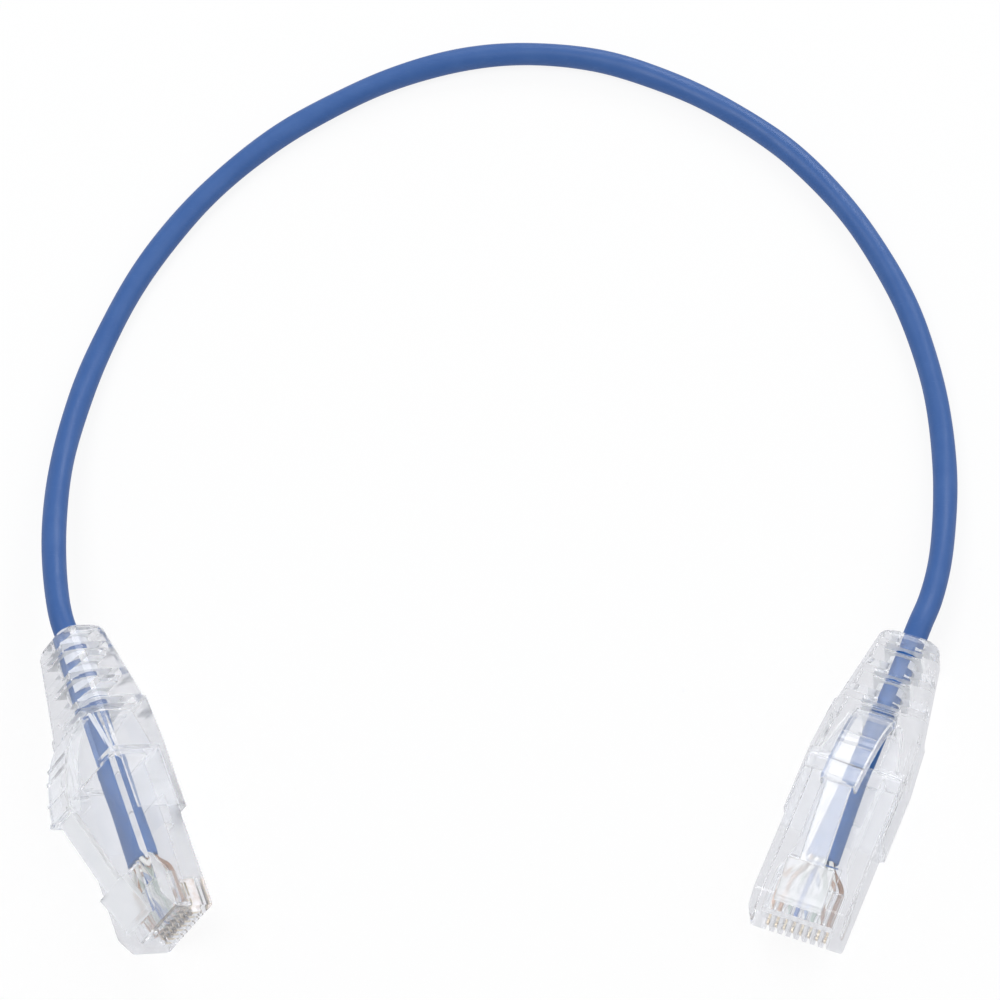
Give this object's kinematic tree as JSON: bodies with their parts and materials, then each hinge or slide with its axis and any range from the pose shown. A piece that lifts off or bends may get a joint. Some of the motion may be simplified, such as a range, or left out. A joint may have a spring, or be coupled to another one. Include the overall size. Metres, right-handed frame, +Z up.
{
  "type": "ethernet patch cable",
  "caption": "Short slim blue network patch cable laid in an open loop, with a clear modular plug, sprung latch and clear slotted boot at each end.",
  "frame": {"origin": "on the table under the middle of the two plugs' common bounding box, the cord left out", "axes": "+X from plug a to plug b, +Y from the plugs towards the cord's loop, +Z up from the table"},
  "size_m": [0.1123, 0.1287, 0.0146],
  "materials": {
    "clear_housing": "clear polycarbonate, polished",
    "clear_boot": "clear flexible plastic, slightly frosted",
    "gold_plate": "gold plated",
    "blue_jacket": "satin blue jacket",
    "wire_white_orange": "satin",
    "wire_orange": "satin",
    "wire_white_green": "satin",
    "wire_blue": "satin",
    "wire_white_blue": "satin",
    "wire_green": "satin",
    "wire_white_brown": "satin",
    "wire_brown": "satin"
  },
  "bodies": {
    "cable": {"housing_a": "clear_housing", "wire_comb_a": "clear_housing", "jacket_end_a": "blue_jacket", "boot_a": "clear_boot", "contact_a1": "gold_plate", "contact_a2": "gold_plate", "contact_a3": "gold_plate", "contact_a4": "gold_plate", "contact_a5": "gold_plate", "contact_a6": "gold_plate", "contact_a7": "gold_plate", "contact_a8": "gold_plate", "wire_a1": "wire_white_orange", "wire_a2": "wire_orange", "wire_a3": "wire_white_green", "wire_a4": "wire_blue", "wire_a5": "wire_white_blue", "wire_a6": "wire_green", "wire_a7": "wire_white_brown", "wire_a8": "wire_brown", "housing_b": "clear_housing", "wire_comb_b": "clear_housing", "jacket_end_b": "blue_jacket", "boot_b": "clear_boot", "contact_b1": "gold_plate", "contact_b2": "gold_plate", "contact_b3": "gold_plate", "contact_b4": "gold_plate", "contact_b5": "gold_plate", "contact_b6": "gold_plate", "contact_b7": "gold_plate", "contact_b8": "gold_plate", "wire_b1": "wire_white_orange", "wire_b2": "wire_orange", "wire_b3": "wire_white_green", "wire_b4": "wire_blue", "wire_b5": "wire_white_blue", "wire_b6": "wire_green", "wire_b7": "wire_white_brown", "wire_b8": "wire_brown", "cord": "blue_jacket"},
    "latch_arm_a": {"latch_a": "clear_housing"},
    "hood_a": {"boot_tongue_a": "clear_boot"},
    "latch_arm_b": {"latch_b": "clear_housing"},
    "hood_b": {"boot_tongue_b": "clear_boot"}
  },
  "joints": [
    {"name": "latch_press_a", "type": "hinge", "parent": "cable", "child": "latch_arm_a", "pos_m": [-0.04102, -0.0188, 0.00912], "axis": [-0.4867, -0.1685, -0.8572], "range_deg": [0, 12], "stiffness_Nm_per_rad": 0.1},
    {"name": "hood_press_a", "type": "hinge", "parent": "cable", "child": "hood_a", "pos_m": [-0.04947, 0.00589, 0.00906], "axis": [0.4867, 0.1685, 0.8572], "range_deg": [0, 14], "stiffness_Nm_per_rad": 0.05},
    {"name": "latch_press_b", "type": "hinge", "parent": "cable", "child": "latch_arm_b", "pos_m": [0.03584, -0.01632, 0.00826], "axis": [-0.9216, 0.3761, -0.0958], "range_deg": [0, 12], "stiffness_Nm_per_rad": 0.1},
    {"name": "hood_press_b", "type": "hinge", "parent": "cable", "child": "hood_b", "pos_m": [0.04571, 0.00784, 0.00814], "axis": [0.9216, -0.3761, 0.0958], "range_deg": [0, 14], "stiffness_Nm_per_rad": 0.05}
  ],
  "couplings": [
    {"joint": "hood_press_a", "follows": "latch_press_a", "ratio": 1.1666},
    {"joint": "hood_press_b", "follows": "latch_press_b", "ratio": 1.1666}
  ]
}
